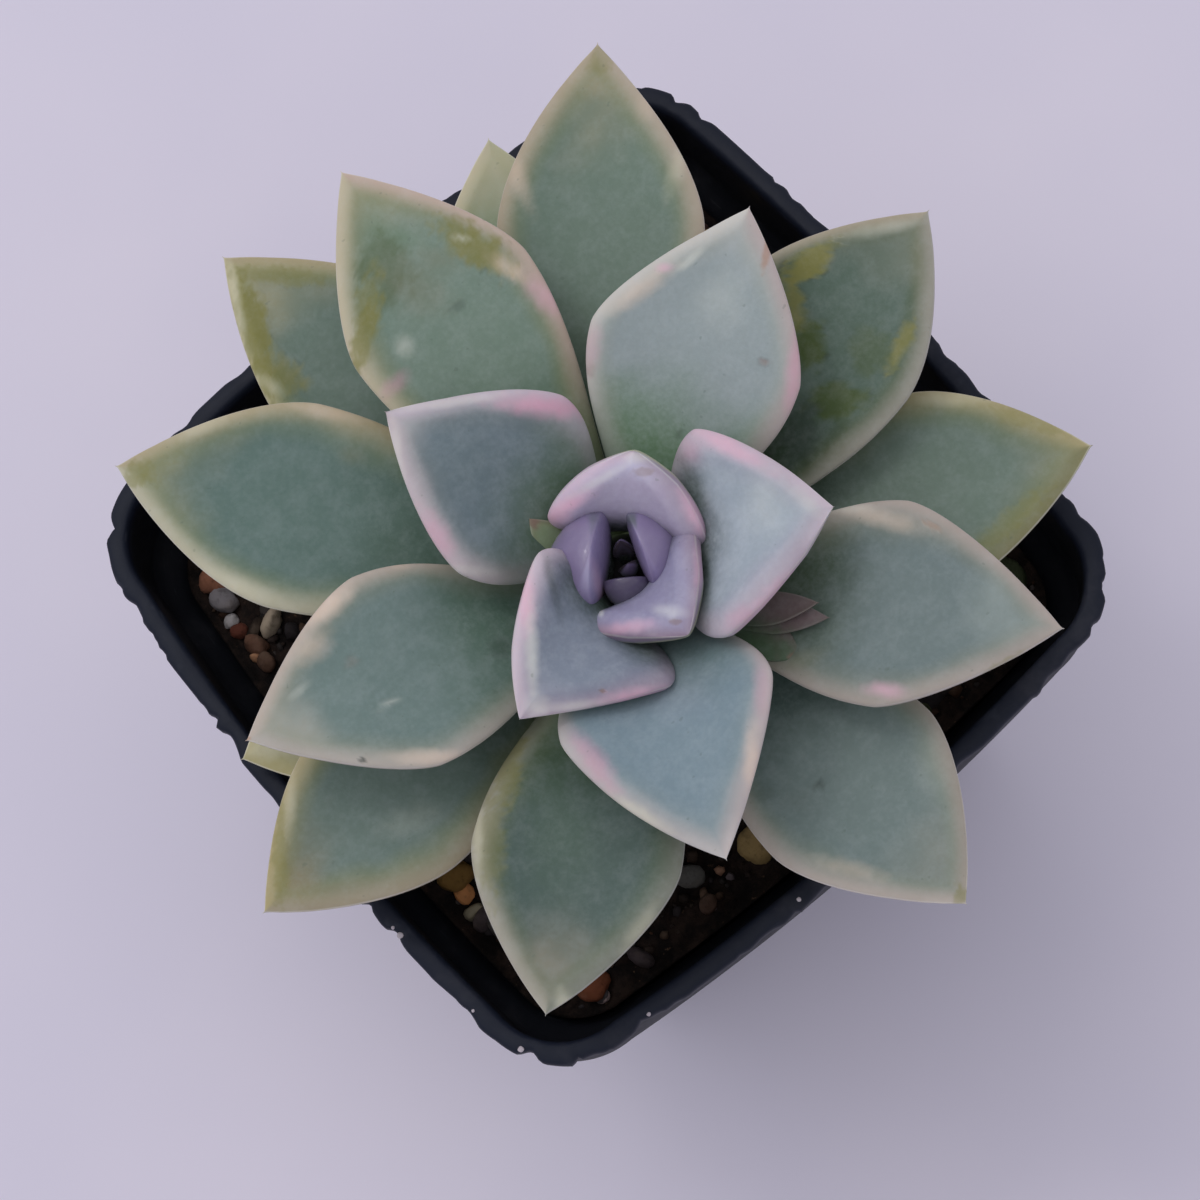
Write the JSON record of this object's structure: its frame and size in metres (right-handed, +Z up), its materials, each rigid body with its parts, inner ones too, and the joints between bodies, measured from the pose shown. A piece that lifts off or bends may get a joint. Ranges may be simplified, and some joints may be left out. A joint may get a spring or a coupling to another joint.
{
  "type": "potted victor kane graptopetalum",
  "caption": "Graptopetalum rosette of thick powdery grey-green leaves with pale pink margins, in a square black plastic nursery pot filled with gritty soil.",
  "frame": {"origin": "middle of the pot's underside", "axes": "+Z up through the plant, X and Y along the pot's sides"},
  "size_m": [0.0802, 0.0859, 0.0844],
  "materials": {
    "pot": "satin black moulded plastic",
    "soil": "moist gritty potting soil",
    "stem": "corky green-brown stem",
    "bud": "smooth purple young leaf",
    "inner_leaf": "waxy bluish leaf with pink margins",
    "middle_leaf": "waxy grey-green leaf with pale margins",
    "outer_leaf": "waxy sea-green leaf with olive margins",
    "shoot": "young leaflets with brown tips"
  },
  "bodies": {
    "root": {"pot": "pot", "soil": "soil", "stem": "stem", "bud_leaf_1": "bud", "bud_leaf_2": "bud", "bud_leaf_3": "bud", "bud_heart": "bud", "leaf_01": "inner_leaf", "leaf_02": "inner_leaf", "leaf_03": "inner_leaf", "leaf_04": "inner_leaf", "leaf_05": "middle_leaf", "leaf_06": "middle_leaf", "leaf_07": "middle_leaf", "leaf_08": "middle_leaf", "leaf_09": "outer_leaf", "leaf_10": "outer_leaf", "leaf_11": "outer_leaf", "leaf_12": "outer_leaf", "leaf_13": "outer_leaf", "leaf_14": "outer_leaf", "leaf_15": "outer_leaf", "leaf_16": "outer_leaf", "leaf_17": "outer_leaf", "leaf_18": "outer_leaf", "leaf_19": "outer_leaf", "leaf_20": "outer_leaf", "side_shoot_right": "shoot", "side_shoot_left": "shoot"}
  },
  "joints": []
}
